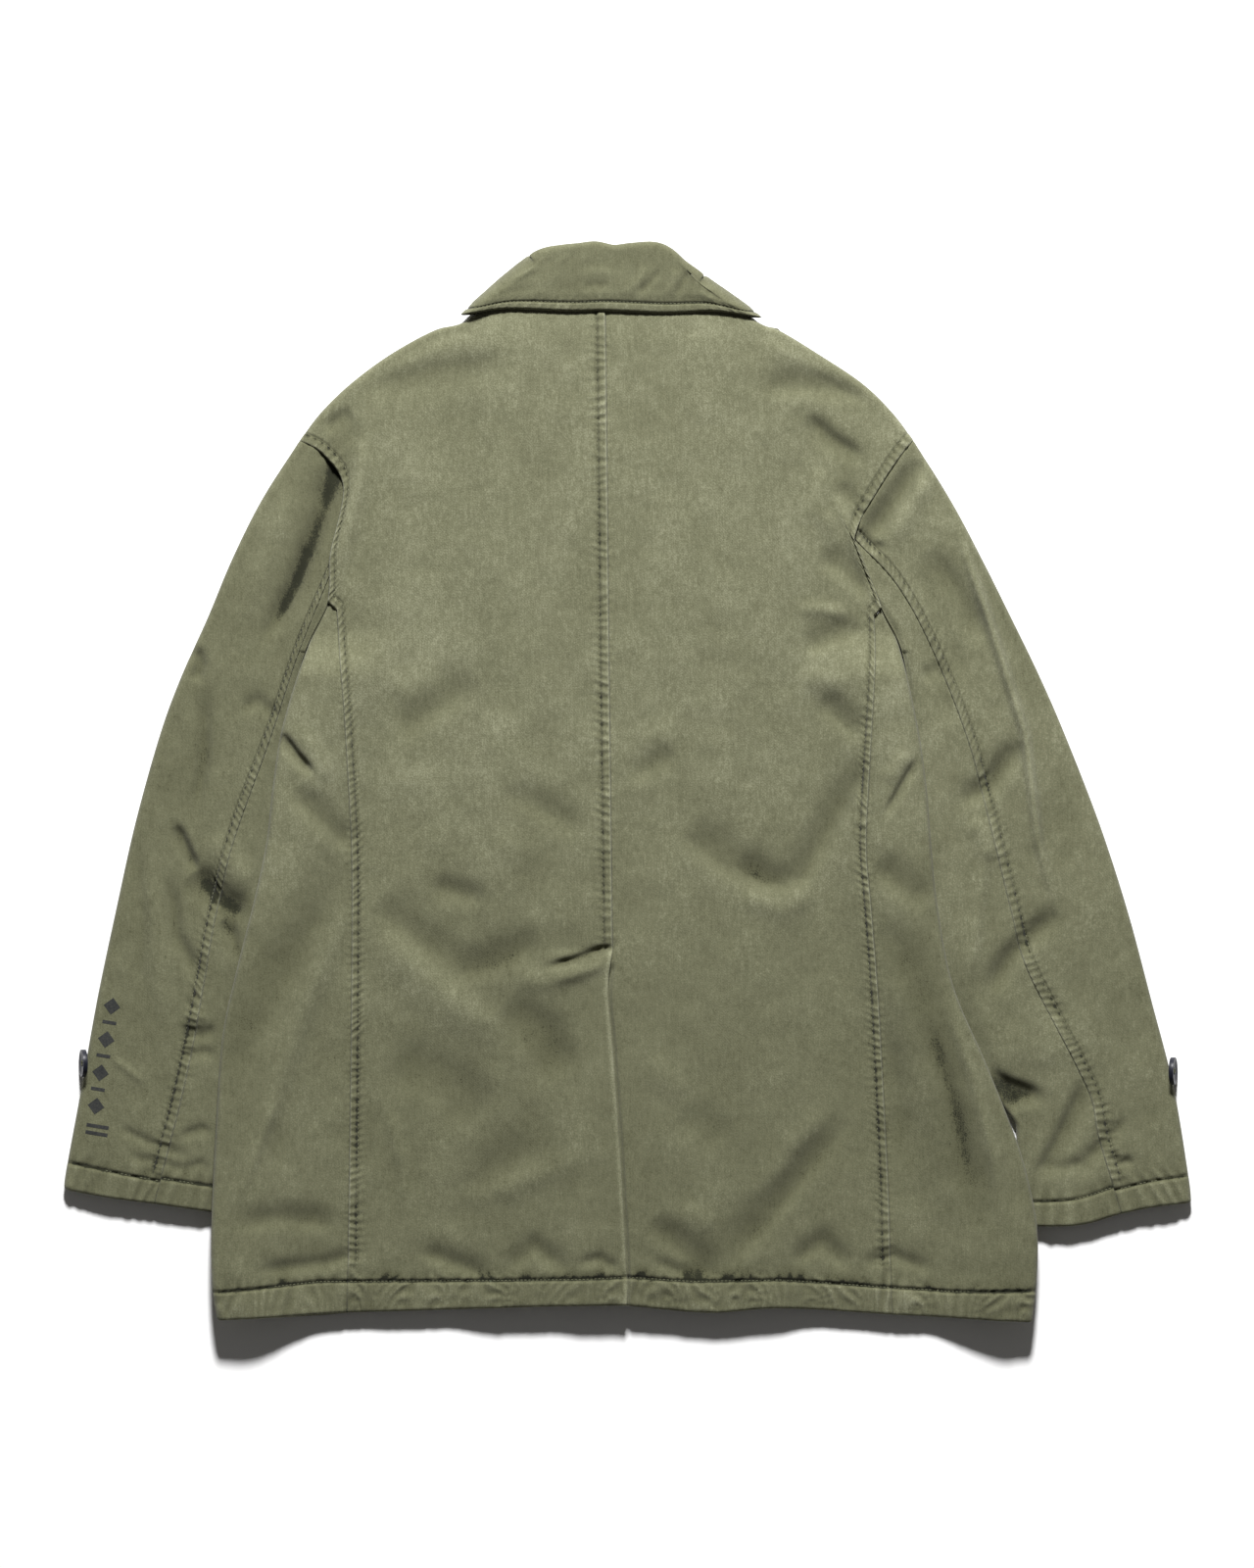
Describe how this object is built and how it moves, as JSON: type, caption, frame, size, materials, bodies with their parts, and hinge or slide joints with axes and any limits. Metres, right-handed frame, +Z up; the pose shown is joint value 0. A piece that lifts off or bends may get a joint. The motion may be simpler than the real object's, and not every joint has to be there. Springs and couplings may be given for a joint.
{
  "type": "pea coat",
  "caption": "Padded cotton twill pea coat lying flat and face down, with a turned-down collar, princess seams, a back vent, filled hem and cuff bands, and a button at each cuff",
  "frame": {"origin": "On the surface that the coat lies on, under the middle of its bounding box", "axes": "+X across the coat to the right as its back is looked at, +Y from hem to collar, +Z up from the surface through fronts and back"},
  "size_m": [0.8638, 0.8263, 0.0276],
  "materials": {
    "shell_cloth": "washed and faded olive cotton twill, matt",
    "button": "polished near-black",
    "thread": "tonal cotton thread"
  },
  "bodies": {
    "root": {"back_left": "shell_cloth", "back_right": "shell_cloth", "side_left": "shell_cloth", "side_right": "shell_cloth", "front_left": "shell_cloth", "front_right": "shell_cloth", "sleeve_upper_left": "shell_cloth", "sleeve_upper_right": "shell_cloth", "sleeve_under_left": "shell_cloth", "sleeve_under_right": "shell_cloth", "collar": "shell_cloth", "button_left": "button", "button_right": "button"}
  },
  "joints": []
}
